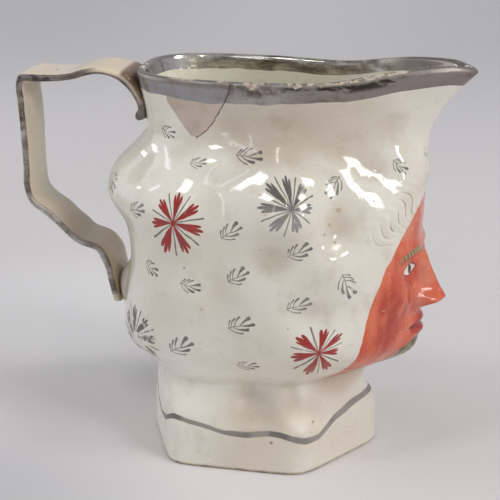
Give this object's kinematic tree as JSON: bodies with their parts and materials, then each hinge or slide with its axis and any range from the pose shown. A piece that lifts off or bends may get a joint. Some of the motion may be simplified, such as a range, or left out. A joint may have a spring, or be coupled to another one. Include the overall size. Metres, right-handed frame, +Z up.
{
  "type": "character jug",
  "caption": "Hollow glazed earthenware jug shaped as a head with curled hair, on a six-sided foot, with a pulled pouring lip and an angular strap handle.",
  "frame": {"origin": "on the standing surface, below the middle of the box round the whole jug", "axes": "+X towards the face and the pouring lip, -X towards the handle, +Z up; the middle plane is Y = 0"},
  "size_m": [0.1438, 0.0742, 0.1254],
  "materials": {
    "glazed_body": "glossy warm cream lead glaze with faint crackle, grey lustre bands, sprigs and flowers, iron-red flowers and an orange-red painted face"
  },
  "bodies": {
    "root": {"jug": "glazed_body"}
  },
  "joints": []
}
